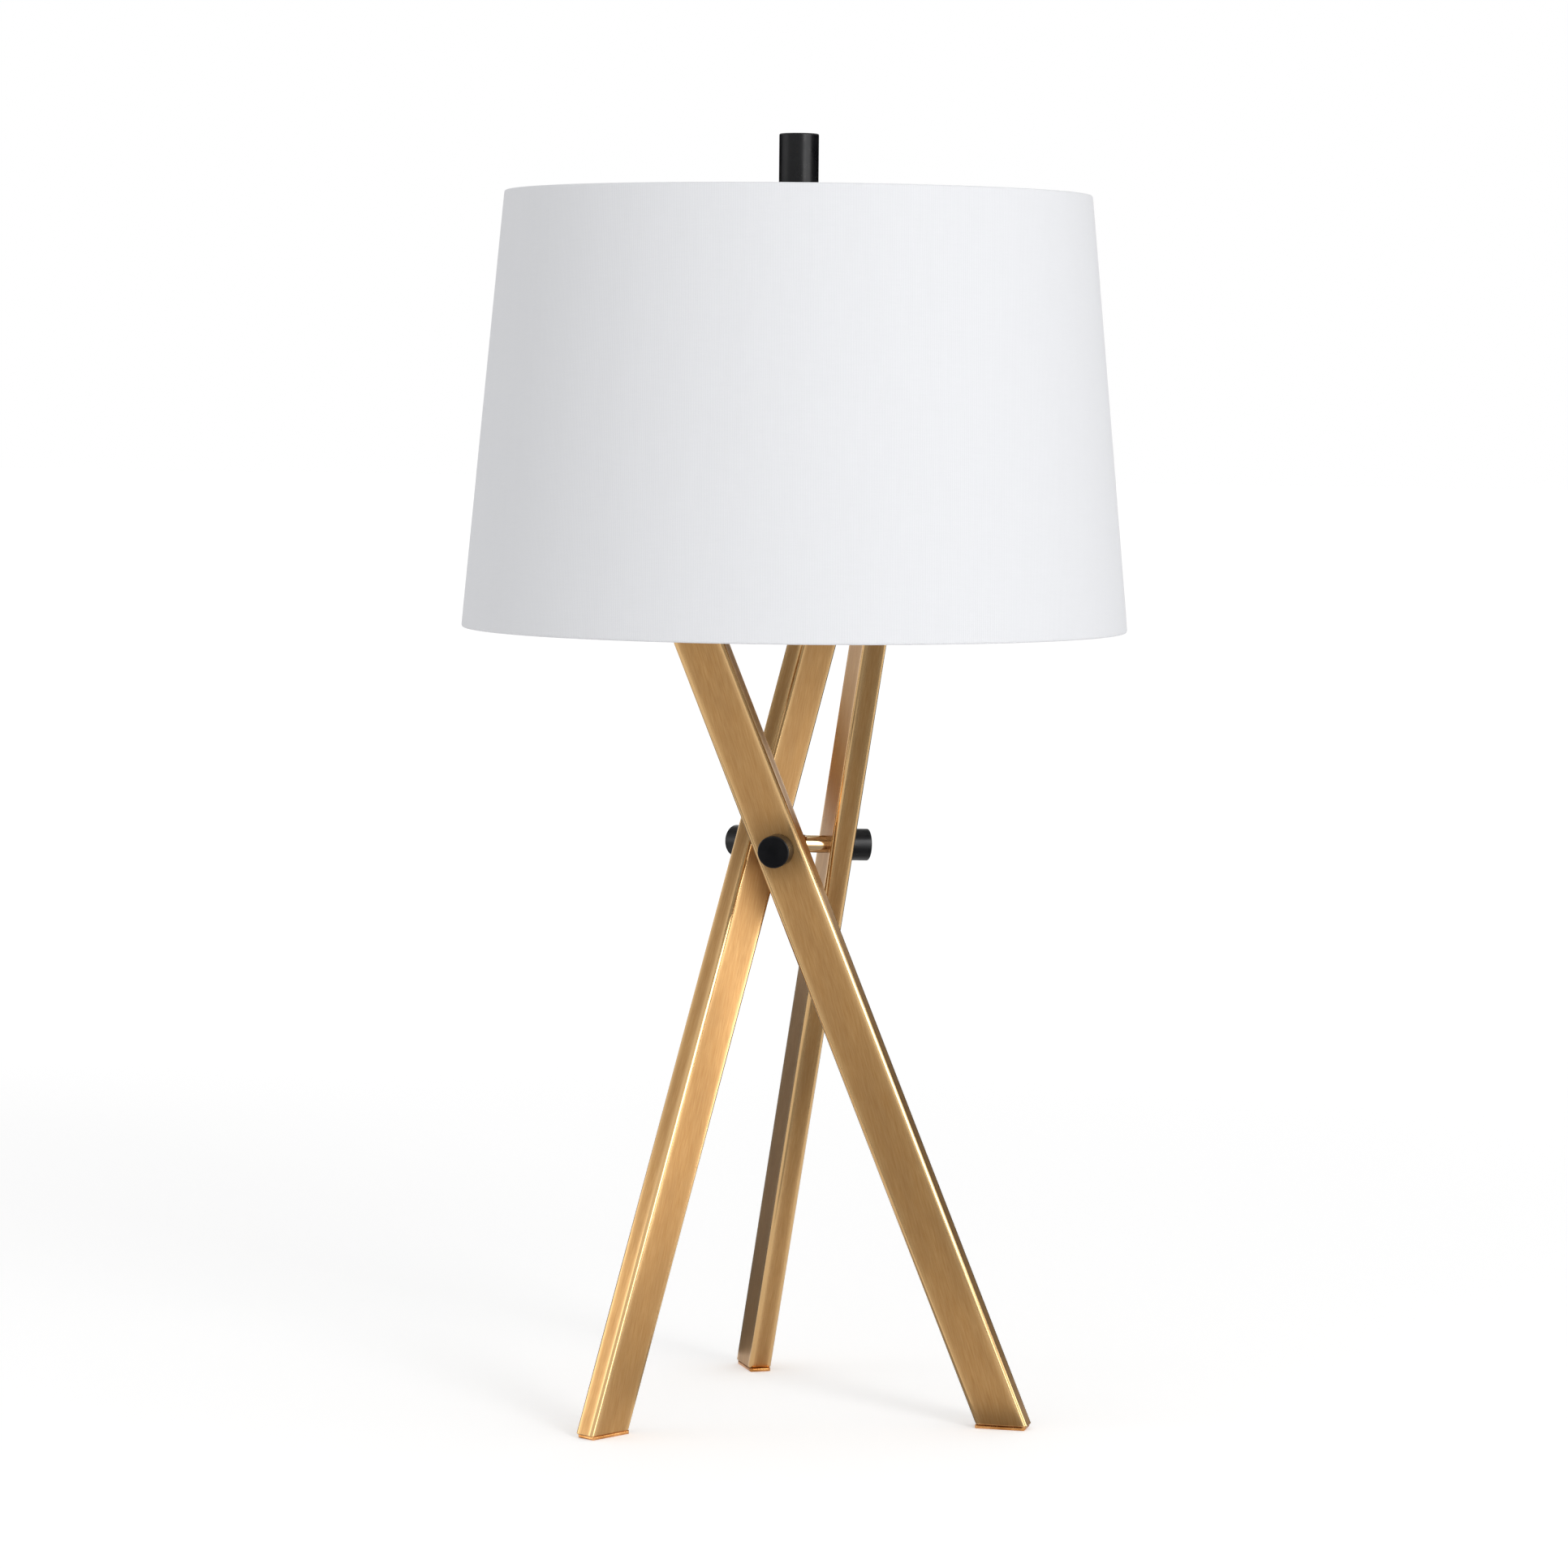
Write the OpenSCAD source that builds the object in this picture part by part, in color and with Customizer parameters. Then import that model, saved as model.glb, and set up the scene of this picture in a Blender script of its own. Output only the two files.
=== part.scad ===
// Table lamp on a crossed-leg tripod: three rectangular tube legs lean past each other, bolted at
// mid height to a small hub by knobs, and carry a socket bracket, harp, bulb and drum shade.
// Millimetres, +Z up, origin on the floor at the lamp's axis. The front leg's knob faces -Y.

/* [Tripod legs] */
// Height of the hub's centre above the floor
hub_z = 329; // [300:1:360]
// Height of the legs' level top ends
leg_top_z = 486.4; // [470:0.2:500]
// Angle that each leg leans sideways past the hub
leg_tilt = 22; // [18:0.5:24]
// Angle that each leg leans outward from the hub
leg_lean = 1.6; // [0:0.1:3]
// Distance from the lamp's axis to the middle of each leg at the hub
arm_r = 26.4; // [25:0.2:32]
// Wide side of the leg tube
leg_w = 27.9; // [26:0.1:32]
// Narrow side of the leg tube
leg_t = 13.8; // [13:0.1:16]
// Wall of the leg tube
leg_wall = 1.2; // [1:0.1:1.6]
// Outside corner radius of the leg tube
leg_corner = 2.2; // [1.8:0.1:3]

/* [Feet] */
// Height of the glide that shows under each leg
glide_h = 2.2; // [2:0.1:4]
// Rounding of the glide's edges
glide_round = 0.8; // [0.4:0.1:0.9]
// Distance that each glide is smaller than its leg on every side
glide_inset = 0.4; // [0:0.1:0.6]
// Distance that each glide sits in towards the lamp from the middle of its leg
glide_shift = 1.2; // [0:0.1:1.4]
// Depth of the glide's plug inside the tube
glide_plug_h = 14; // [10:1:18]
// Depth of the steel plug that closes a leg's top
top_plug_h = 14; // [11:1:16]

/* [Hub and knobs] */
// Diameter of the hub's boss
boss_d = 17; // [15:0.5:20]
// Height of the hub's boss
boss_h = 15; // [13:0.5:18]
// Diameter of each hub arm
hub_arm_d = 10; // [9:0.5:11]
// Diameter of the arm's spigot through the leg
spigot_d = 6; // [5:0.5:6.5]
// Diameter of the arm's spigot in the boss
root_d = 5; // [4:0.5:6]
// Wall of the sleeve that stiffens each leg round its spigot
sleeve_wall = 1.4; // [1:0.1:1.6]
// Diameter of each clamping knob
knob_d = 18.4; // [17:0.2:20]
// Length of each clamping knob
knob_l = 11.5; // [10.5:0.5:14]
// Rounding of the knob's rim
knob_round = 0.7; // [0.3:0.1:1.5]
// Diameter of the thin washer under each knob
knob_washer_d = 16.8; // [14:0.2:17]
// Thickness of the thin washer under each knob
knob_washer_t = 0.6; // [0.4:0.1:1]
// Depth of thread inside each knob
knob_bore_l = 8; // [6:0.5:9]

/* [Socket bracket] */
// Thickness of the bracket plate
plate_t = 3; // [2.5:0.5:4]
// Width of the bracket's arms
plate_arm_w = 12; // [8:0.5:12]
// Diameter of the bracket's middle
plate_mid_d = 38; // [34:1:44]
// Diameter of the bracket screws
screw_d = 5; // [4:0.5:5.5]
// Length of the bracket screws below their heads
screw_l = 13; // [10:1:13]

/* [Nipple and saddle] */
// Outside diameter of the threaded nipple
nipple_d = 9.6; // [9.6:0.2:10]
// Bore of the nipple
nipple_bore_d = 6.6; // [6:0.2:7]
// Length of nipple below the bracket
nipple_tail = 9; // [8.5:0.5:12]
// Distance between the harp's feet
harp_foot_gap = 57; // [52:1:62]
// Width of the saddle strip
saddle_w = 12; // [11:1:16]
// Thickness of the saddle strip
saddle_t = 1.6; // [1.2:0.2:2]
// Height of the saddle's ears
saddle_ear_h = 16; // [13:1:20]
// Height of the round posts on the ears
saddle_post_h = 9; // [7:1:11]

/* [Harp] */
// Height of the harp above the saddle
harp_h = 194; // [185:1:205]
// Diameter of the harp's wire
harp_wire_d = 3.2; // [2.8:0.2:3.6]
// Thickness that the harp's feet gain over its wire
harp_foot_gain = 0.4; // [0.3:0.1:0.8]
// Angle that the harp opens from its feet
harp_flare = 18; // [12:1:22]
// Radius of the harp's lower bends
harp_bend_r = 30; // [20:1:40]
// Diameter of the eye at the harp's top
harp_eye_d = 14; // [13:0.5:16]
// Thickness of the eye at the harp's top
harp_eye_t = 2.4; // [2:0.1:2.6]
// Outside diameter of the locking sleeves
lock_d = 6.6; // [6:0.2:8]
// Length of the locking sleeves
lock_l = 16; // [14:1:18]
// Travel of the locking sleeves
lock_travel = 12; // [10:1:14]
// Diameter of the threaded stud under the finial
stud_d = 6.2; // [5.8:0.1:6.4]
// Length of stud above the shade's washer
stud_l = 12; // [9:1:13]

/* [Socket and switch] */
// Height of the socket above the saddle
socket_h = 62; // [58:1:68]
// Outside diameter of the socket's shell
socket_d = 33; // [33:0.5:36]
// Thickness of the socket's metal
socket_wall = 0.7; // [0.5:0.1:0.9]
// Height of the socket's cap
cap_h = 19; // [18:0.5:21]
// Inside diameter of the screw shell
screw_shell_d = 26.6; // [26.5:0.1:26.8]
// Height of the switch above the saddle
switch_h = 26; // [25:0.5:28]
// Diameter of the switch's knob
switch_knob_d = 12.5; // [11:0.5:14]
// Length of the switch's knob
switch_knob_l = 11; // [9:1:13]

/* [Bulb] */
// Largest diameter of the bulb
bulb_d = 60; // [56:1:64]
// Length of the bulb
bulb_l = 109; // [100:1:114]
// Wall of the bulb's globe
bulb_wall = 1.2; // [0.8:0.1:2]
// Diameter of the bulb's screw base over its thread
bulb_base_d = 26; // [25.8:0.1:26.4]

/* [Shade] */
// Outside diameter of the shade's lower edge
shade_bottom_d = 381; // [360:1:400]
// Outside diameter of the shade's upper edge
shade_top_d = 334.5; // [320:0.5:350]
// Height of the shade
shade_h = 248; // [230:1:260]
// Thickness of the linen
fabric_t = 0.6; // [0.4:0.1:0.8]
// Thickness of the stiff liner
liner_t = 0.8; // [0.6:0.1:1]
// Depth of linen turned in over each wire ring
fold_h = 11; // [8:1:14]
// Diameter of the wire rings
ring_wire_d = 2.6; // [2.4:0.2:3]
// Diameter of the spider's wires
spider_wire_d = 3.2; // [2.8:0.2:3.6]
// Height of the top ring above the spider's washer
spider_drop = 11; // [10:0.5:14]
// Diameter of the spider's washer
washer_d = 28; // [24:1:32]
// Thickness of the spider's washer
washer_t = 1.8; // [1.6:0.1:2.4]

/* [Finial] */
// Diameter of the finial
finial_d = 22.6; // [20:0.2:25]
// Height of the finial's black cylinder
finial_h = 42; // [36:1:48]
// Rounding of the finial's edges
finial_round = 1; // [0.5:0.1:2]
// Height of the finial's collar
collar_h = 4; // [3:0.5:5]

/* [Lead] */
// Diameter of the lead inside the leg
lead_d = 4.4; // [3.6:0.2:4.8]
// Height of the cord outlet's bushing above the floor
outlet_z = 36; // [34:1:60]

/* [Hidden] */
$fn = 64;

// Headings of the front, right and left arms about the lamp's axis
headings = [-90, 30, 150];
front = headings[0];
right = headings[1];
left = headings[2];

// Clearances
run_gap = 0.05;   // between a shaft and the bore that it turns in
slip_gap = 0.15;  // between a plug and the tube that it fills
hole_gap = 0.3;   // between a screw or nipple and the hole that it passes
bond_gap = 0.1;   // filled with glue between linen, liner and ring
big = 600;        // longer than the lamp in any direction

// Levels of the stack above the legs
plate_top_z = leg_top_z + plate_t;
cap_z = plate_top_z + saddle_t;
harp_top_z = cap_z + harp_h;
stud_flange_t = 1.6;
washer_z = harp_top_z + stud_flange_t;
washer_top_z = washer_z + washer_t;
finial_z = washer_top_z + collar_h;
socket_top_z = cap_z + socket_h;

// Levels and radii of the shade
roll_r = ring_wire_d / 2 + bond_gap + fabric_t;
top_ring_z = washer_z + washer_t / 2 + spider_drop;
shade_top_z = top_ring_z + roll_r;
shade_z = shade_top_z - shade_h;
bottom_ring_z = shade_z + roll_r;
shade_slope = atan((shade_bottom_d - shade_top_d) / 2 / shade_h);

// Radius of the shade's outer face at a height above the floor
function shade_r(z) = shade_bottom_d / 2 - (z - shade_z) * tan(shade_slope);
// Radius at which something of half-thickness h lies against the inside of the outer face
function ring_r(z, h) = shade_r(z) - h / cos(shade_slope);

// Distance along a leg from its knob to a level z
function leg_s(z) = (z - hub_z + arm_r * sin(leg_lean)) / (cos(leg_tilt) * cos(leg_lean));
// Turns about X, Y and Z
function turn_x(p, a) = [p.x, p.y * cos(a) - p.z * sin(a), p.y * sin(a) + p.z * cos(a)];
function turn_y(p, a) = [p.x * cos(a) + p.z * sin(a), p.y, p.z * cos(a) - p.x * sin(a)];
function turn_z(p, a) = [p.x * cos(a) - p.y * sin(a), p.x * sin(a) + p.y * cos(a), p.z];
// A point of the leg's own frame (X out through its wide side, Y across it, Z up along it)
function leg_point(heading, p) =
    turn_z(turn_y(turn_x(p, leg_tilt) + [arm_r, 0, 0], leg_lean), heading) + [0, 0, hub_z];
// The middle of a leg at a level z
function leg_mid(heading, z) = leg_point(heading, [0, 0, leg_s(z)]);

module in_arm_frame(heading) {
    translate([0, 0, hub_z]) rotate([0, 0, heading]) rotate([0, leg_lean, 0]) children();
}

module in_leg_frame(heading) {
    in_arm_frame(heading) translate([arm_r, 0, 0]) rotate([leg_tilt, 0, 0]) children();
}

// ---- General shapes ----

module rounded_rect(x, y, r) {
    square([x - 2 * r, y], center = true);
    square([x, y - 2 * r], center = true);
    for (sx = [-1, 1], sy = [-1, 1])
        translate([sx * (x / 2 - r), sy * (y / 2 - r)]) circle(r);
}

module slab(z0, z1) {
    translate([-big / 2, -big / 2, z0]) cube([big, big, z1 - z0]);
}

module tube(d, bore_d, h) {
    difference() {
        cylinder(d = d, h = h);
        translate([0, 0, -1]) cylinder(d = bore_d, h = h + 2);
    }
}

// Half profile of a disc, with its lower and upper rims rounded
module disc_profile(r, h, low, high) {
    difference() {
        square([r, h]);
        translate([r - low, 0]) square(low);
        translate([r - high, h - high]) square(high);
    }
    translate([r - low, low]) intersection() {
        circle(low);
        translate([0, -low]) square(low);
    }
    translate([r - high, h - high]) intersection() {
        circle(high);
        square(high);
    }
}

module disc(d, h, low, high) {
    rotate_extrude() disc_profile(d / 2, h, low, high);
}

// A cylinder along +X
module along_x(d, x0, x1) {
    translate([x0, 0, 0]) rotate([0, 90, 0]) cylinder(d = d, h = x1 - x0);
}

// ---- Legs, glides and plugs ----

module leg_section(inset) {
    rounded_rect(leg_t - 2 * inset, leg_w - 2 * inset, leg_corner - inset);
}

// The part of a leg-shaped bar that lies between two levels
module leg_bar(heading, inset, z0, z1) {
    intersection() {
        in_leg_frame(heading) linear_extrude(2 * big, center = true) leg_section(inset);
        slab(z0, z1);
    }
}

bushing_wall = 1.5;
bushing_flange_d = lead_d + 5;
bushing_flange_t = 1.6;
bushing_hole_d = lead_d + 2 * bushing_wall;
entry_drop = 14;   // from the steel plug down to the hole where the lead goes in
entry_s = leg_s(leg_top_z - top_plug_h - entry_drop);
outlet_s = leg_s(outlet_z);

// A round hole through the leg's narrow side, at a distance along the leg
module lead_hole(s) {
    translate([0, leg_w / 2 - 2 * leg_wall, s]) rotate([-90, 0, 0])
        cylinder(d = bushing_hole_d + 2 * run_gap, h = 4 * leg_wall);
}

module leg(heading) {
    color("peru") difference() {
        leg_bar(heading, 0, glide_h, leg_top_z);
        in_leg_frame(heading) {
            linear_extrude(2 * big, center = true) leg_section(leg_wall);
            along_x(spigot_d + hole_gap, -leg_t, leg_t);
            if (heading == right) {
                lead_hole(entry_s);
                lead_hole(outlet_s);
            }
        }
    }
}

// A slab with upright round corners, and rounded edges above and below
module glide_pad(x, y, h, r, edge) {
    intersection() {
        linear_extrude(h) rounded_rect(x, y, r);
        rotate([90, 0, 0]) linear_extrude(2 * y, center = true) pad_profile(x, h, edge);
        rotate([90, 0, 90]) linear_extrude(2 * x, center = true) pad_profile(y, h, edge);
    }
}

module pad_profile(x, h, edge) {
    translate([0, h / 2]) rounded_rect(x, h, edge);
}

module glide(heading) {
    foot = leg_mid(heading, glide_h);
    color("sienna") {
        translate([foot.x, foot.y, 0]) rotate([0, 0, heading]) translate([0, -glide_shift, 0])
            glide_pad(leg_t - 2 * glide_inset, leg_w / cos(leg_tilt) - 2 * glide_inset, glide_h,
                      leg_corner, glide_round);
        leg_bar(heading, leg_wall + slip_gap, glide_h / 2, glide_h + glide_plug_h);
    }
}

module top_plug(heading) {
    top = leg_mid(heading, leg_top_z);
    color("dimgray") difference() {
        leg_bar(heading, leg_wall + slip_gap, leg_top_z - top_plug_h, leg_top_z);
        translate([top.x, top.y, 0]) cylinder(d = screw_d + 2 * run_gap, h = big);
    }
}

// ---- Hub and knobs ----

root_l = 5;
leg_inner_x = arm_r - leg_t / 2;
leg_outer_x = arm_r + leg_t / 2;
knob_x = leg_outer_x + knob_washer_t;
boss_chamfer = 0.8;

module hub_boss() {
    color("peru") difference() {
        translate([0, 0, hub_z - boss_h / 2]) rotate_extrude()
            polygon([[0, 0], [boss_d / 2 - boss_chamfer, 0], [boss_d / 2, boss_chamfer],
                     [boss_d / 2, boss_h - boss_chamfer], [boss_d / 2 - boss_chamfer, boss_h],
                     [0, boss_h]]);
        for (h = headings) in_arm_frame(h)
            along_x(root_d + 2 * run_gap, boss_d / 2 - root_l - hole_gap, boss_d);
    }
}

// Rod whose inner end is coped to the boss, with a spigot at each end
module hub_arm(heading) {
    color("peru") {
        difference() {
            in_arm_frame(heading) along_x(hub_arm_d, boss_d / 4, leg_inner_x);
            translate([0, 0, hub_z - boss_h]) cylinder(d = boss_d + run_gap, h = 2 * boss_h);
        }
        in_arm_frame(heading) {
            along_x(root_d, boss_d / 2 - root_l, leg_inner_x);
            along_x(spigot_d, leg_inner_x - 1, knob_x + knob_bore_l - hole_gap);
        }
    }
}

module leg_sleeves() {
    length = leg_t - 2 * leg_wall - 2 * run_gap;
    color("silver") for (h = headings) in_leg_frame(h)
        translate([-length / 2, 0, 0]) rotate([0, 90, 0])
            tube(spigot_d + 2 * run_gap + 2 * sleeve_wall, spigot_d + 2 * run_gap, length);
}

module knob_washers() {
    color([0.05, 0.05, 0.05]) for (h = headings) in_arm_frame(h)
        translate([leg_outer_x, 0, 0]) rotate([0, 90, 0])
            tube(knob_washer_d, spigot_d + hole_gap, knob_washer_t);
}

module knob(heading) {
    color([0.08, 0.08, 0.09]) in_arm_frame(heading) difference() {
        translate([knob_x, 0, 0]) rotate([0, 90, 0])
            disc(knob_d, knob_l, knob_round / 2, knob_round);
        along_x(spigot_d + 2 * run_gap, knob_x - 1, knob_x + knob_bore_l);
    }
}

// ---- Socket bracket ----

module bracket_outline() {
    circle(d = plate_mid_d);
    for (h = headings) {
        top = leg_mid(h, leg_top_z);
        reach = norm([top.x, top.y]);
        rotate(atan2(top.y, top.x)) translate([0, -plate_arm_w / 2]) square([reach, plate_arm_w]);
        translate([top.x, top.y]) rotate(h)
            rounded_rect(leg_t, leg_w / cos(leg_tilt), leg_corner);
    }
}

module socket_bracket() {
    color("peru") translate([0, 0, leg_top_z]) difference() {
        linear_extrude(plate_t) bracket_outline();
        translate([0, 0, -1]) {
            cylinder(d = nipple_d + hole_gap, h = plate_t + 2);
            for (h = headings) {
                top = leg_mid(h, leg_top_z);
                translate([top.x, top.y, 0]) cylinder(d = screw_d + hole_gap, h = plate_t + 2);
            }
        }
    }
}

screw_head_d = 1.9 * screw_d;
screw_head_h = 0.68 * screw_d;
recess_w = 1.2;

module bracket_screws() {
    color("dimgray") for (h = headings) {
        top = leg_mid(h, leg_top_z);
        translate([top.x, top.y, plate_top_z]) {
            difference() {
                disc(screw_head_d, screw_head_h, 0.1, screw_head_h / 2);
                for (a = [0, 90]) rotate(a)
                    translate([-screw_d / 2, -recess_w / 2, screw_head_h / 2])
                        cube([screw_d, recess_w, screw_head_h]);
            }
            translate([0, 0, -screw_l]) cylinder(d = screw_d, h = screw_l + 0.5);
        }
    }
}

// ---- Nipple, nut and saddle ----

nut_w = 14;
nut_h = 5;
nut_washer_d = 17;
nut_washer_t = 1.2;
nipple_head = 7;

module nipple() {
    color("goldenrod") translate([0, 0, leg_top_z - nipple_tail])
        tube(nipple_d, nipple_bore_d, nipple_tail + plate_t + saddle_t + nipple_head);
}

module nut_washer() {
    color("silver") translate([0, 0, leg_top_z - nut_washer_t])
        tube(nut_washer_d, nipple_d + hole_gap, nut_washer_t);
}

module nipple_nut() {
    color("goldenrod") translate([0, 0, leg_top_z - nut_washer_t - nut_h]) difference() {
        cylinder(d = nut_w / cos(30), h = nut_h, $fn = 6);
        translate([0, 0, -1]) cylinder(d = nipple_d + 2 * run_gap, h = nut_h + 2);
    }
}

foot_x = harp_foot_gap / 2;
saddle_bend = 4;

// The strip's U, seen along Y, standing on z = 0
module saddle_profile() {
    out_x = 2 * foot_x + saddle_t;
    difference() {
        translate([0, saddle_ear_h / 2 + saddle_bend / 2])
            rounded_rect(out_x, saddle_ear_h + saddle_bend, saddle_bend);
        translate([0, saddle_ear_h / 2 + saddle_bend / 2 + saddle_t])
            rounded_rect(out_x - 2 * saddle_t, saddle_ear_h + saddle_bend, saddle_bend - saddle_t);
        translate([-out_x, saddle_ear_h]) square([2 * out_x, 2 * saddle_bend]);
    }
}

module harp_saddle() {
    color("goldenrod") translate([0, 0, plate_top_z]) {
        difference() {
            rotate([90, 0, 0]) linear_extrude(saddle_w, center = true) saddle_profile();
            translate([0, 0, -1]) cylinder(d = nipple_d + hole_gap, h = saddle_t + 2);
        }
        for (side = [-1, 1]) translate([side * foot_x, 0, saddle_ear_h - saddle_bend])
            cylinder(d = harp_foot_d, h = saddle_post_h + saddle_bend);
    }
}

// ---- Harp, locking sleeves and stud ----

ear_top_z = plate_top_z + saddle_ear_h;
wire_z = ear_top_z + saddle_post_h;
lock_spare = 2;
straight_top_z = ear_top_z + lock_l + lock_travel + lock_spare;
harp_mid_z = harp_top_z - harp_eye_t / 2;
harp_foot_d = harp_wire_d + harp_foot_gain;
eye_lap = 1.5;
eye_x = harp_eye_d / 2 - eye_lap;
// The upper bend's radius and the slanted length follow from the harp's height and feet
rise = harp_mid_z - straight_top_z;
bend_a = (foot_x + harp_bend_r * (1 - cos(harp_flare)) - eye_x) / cos(harp_flare);
slant_l = (rise - harp_bend_r * sin(harp_flare) - bend_a * (1 + sin(harp_flare)))
    / (cos(harp_flare) + tan(harp_flare) * (1 + sin(harp_flare)));
crown_r = bend_a + slant_l * tan(harp_flare);

// Rod bent to a radius about Y, in the XZ plane, up from one angle above +X to another
module rod_bend(d, r, from, to) {
    rotate([90, 0, 0]) rotate([0, 0, from]) rotate_extrude(angle = to - from)
        translate([r, 0]) circle(d = d);
}

// One foot with its bend, and the wire from there to the middle of the crown
module harp_side() {
    foot_lap = 1;
    translate([foot_x, 0, wire_z]) cylinder(d = harp_foot_d, h = straight_top_z - wire_z);
    translate([foot_x + harp_bend_r, 0, straight_top_z]) mirror([1, 0, 0])
        rod_bend(harp_foot_d, harp_bend_r, 0, harp_flare);
    translate([eye_x, 0, harp_mid_z - crown_r]) {
        rod_bend(harp_wire_d, crown_r, -harp_flare, 90);
        rotate([0, harp_flare, 0]) translate([crown_r, 0, -slant_l - foot_lap])
            cylinder(d = harp_wire_d, h = slant_l + foot_lap);
    }
}

neck_step = 0.2;
neck_d = stud_d - 2 * neck_step;
rivet_d = neck_d + 3;
rivet_h = 1.4;

module harp_bow() {
    color("goldenrod") {
        harp_side();
        mirror([1, 0, 0]) harp_side();
        translate([0, 0, harp_mid_z - harp_eye_t / 2])
            tube(harp_eye_d, neck_d + 2 * run_gap, harp_eye_t);
    }
}

module lock_sleeve(side) {
    color("goldenrod") translate([side * foot_x, 0, ear_top_z])
        tube(lock_d, harp_foot_d + 2 * run_gap, lock_l);
}

module harp_stud() {
    color("goldenrod") translate([0, 0, harp_top_z]) {
        cylinder(r = eye_x - hole_gap, h = stud_flange_t);
        cylinder(d = stud_d, h = stud_flange_t + washer_t + stud_l);
        translate([0, 0, -harp_eye_t - run_gap]) cylinder(d = neck_d, h = harp_eye_t + 1);
        translate([0, 0, -harp_eye_t - run_gap - rivet_h]) cylinder(d = rivet_d, h = rivet_h);
    }
}

// ---- Socket ----

cap_bend = 8;
shell_foot_h = 12;
core_foot_h = 14;
core_recess = 2;
liner_wall = 0.6;
thread_depth = 22;
shell_in_d = socket_d - 2 * socket_wall;
liner_out_d = shell_in_d - 4 * run_gap;
core_d = liner_out_d - 2 * liner_wall - 4 * run_gap;
screw_shell_wall = 0.4;
core_floor_z = socket_top_z - core_recess - thread_depth;

// Half profile of the cap: a collar, a rounded shoulder and a straight rim
module cap_half(r, inset) {
    shoulder = r - cap_bend;
    translate([0, shell_foot_h - cap_bend + inset]) square([shoulder, cap_bend]);
    intersection() {
        translate([shoulder, shell_foot_h]) circle(cap_bend - inset);
        translate([shoulder - 1, 0]) square([cap_bend + 2, shell_foot_h]);
    }
    translate([0, shell_foot_h]) square([r - inset, cap_h - shell_foot_h + (inset > 0 ? 1 : 0)]);
}

module socket_cap() {
    cap_r = socket_d / 2 + run_gap * 2 + socket_wall;
    collar_wall = 2.4;
    collar_r = nipple_d / 2 + collar_wall;
    color("goldenrod") translate([0, 0, cap_z]) rotate_extrude() difference() {
        union() {
            cap_half(cap_r, 0);
            square([collar_r, shell_foot_h - cap_bend + socket_wall]);
        }
        difference() {
            cap_half(cap_r, socket_wall);
            square([collar_r, nipple_head]);
        }
        translate([0, -1]) square([nipple_d / 2 + run_gap, cap_h]);
    }
}

module switch_hole(d) {
    translate([0, 0, cap_z + switch_h]) rotate([0, 0, front]) along_x(d, 0, socket_d);
}

module socket_shell() {
    bead_r = 0.8;
    color("goldenrod") difference() {
        translate([0, 0, cap_z + shell_foot_h]) rotate_extrude() {
            translate([shell_in_d / 2, 0]) square([socket_wall, socket_h - shell_foot_h]);
            translate([socket_d / 2 - bead_r / 2, socket_h - shell_foot_h - bead_r]) circle(bead_r);
            intersection() {
                translate([socket_d / 2 - bead_r / 2, cap_h + 2.5 - shell_foot_h]) circle(bead_r);
                translate([shell_in_d / 2, 0]) square([2, socket_h]);
            }
        }
        translate([0, 0, cap_z]) cylinder(d = shell_in_d, h = socket_h + 1);
        switch_hole(switch_hole_d);
    }
}

module socket_liner() {
    color("wheat") difference() {
        translate([0, 0, cap_z + shell_foot_h + 1])
            tube(liner_out_d, liner_out_d - 2 * liner_wall, socket_h - shell_foot_h - 2);
        switch_hole(switch_hole_d);
    }
}

module socket_core() {
    pocket_d = screw_shell_d + 2 * screw_shell_wall + 4 * run_gap;
    color([0.12, 0.11, 0.1]) difference() {
        translate([0, 0, cap_z + core_foot_h])
            cylinder(d = core_d, h = socket_h - core_foot_h - core_recess);
        translate([0, 0, core_floor_z]) cylinder(d = pocket_d, h = thread_depth + 1);
        rotate([0, 0, front]) translate([0, 0, cap_z + switch_h])
            along_x(switch_shaft_d + 2 * run_gap, switch_root_x - hole_gap, socket_d);
    }
}

module screw_shell() {
    color("silver") translate([0, 0, core_floor_z])
        tube(screw_shell_d + 2 * screw_shell_wall, screw_shell_d, thread_depth);
}

contact_h = 1.4;

module centre_contact() {
    color("goldenrod") translate([0, 0, core_floor_z]) disc(8, contact_h, 0.01, 0.8);
}

// ---- Switch ----

switch_shaft_d = 4;
switch_hole_d = switch_shaft_d + 1.2;
switch_root_x = 8;
switch_stand_off = 4;
switch_knob_x = socket_d / 2 + switch_stand_off;
flutes = 12;
flute_d = 2;

module switch_shaft() {
    color("silver") rotate([0, 0, front]) translate([0, 0, cap_z + switch_h])
        along_x(switch_shaft_d, switch_root_x, switch_knob_x + switch_knob_l / 2);
}

module switch_knob() {
    color([0.1, 0.09, 0.08]) rotate([0, 0, front]) translate([switch_knob_x, 0, cap_z + switch_h])
        rotate([0, 90, 0]) difference() {
            disc(switch_knob_d, switch_knob_l, 0.4, 1.2);
            translate([0, 0, -1])
                cylinder(d = switch_shaft_d + 2 * run_gap, h = switch_knob_l / 2 + 1 + hole_gap);
            for (i = [0 : flutes - 1]) rotate(i * 360 / flutes)
                translate([(switch_knob_d + flute_d / 2) / 2, 0, flute_d])
                    cylinder(d = flute_d, h = switch_knob_l);
        }
}

// ---- Bulb ----

bulb_z = core_floor_z + contact_h + run_gap;
tip_h = 2;
base_h = 22;
base_r = bulb_base_d / 2;
bulb_collar_lip = 1.4;
bulb_collar_h = 18;
bulb_r = bulb_d / 2;
globe_mid_h = bulb_l - bulb_r;
collar_top_h = tip_h + base_h + bulb_collar_h;
globe_foot_r = 21;

module bulb_tip() {
    color("silver") translate([0, 0, bulb_z]) disc(7, tip_h, 1.5, 0.01);
}

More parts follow.
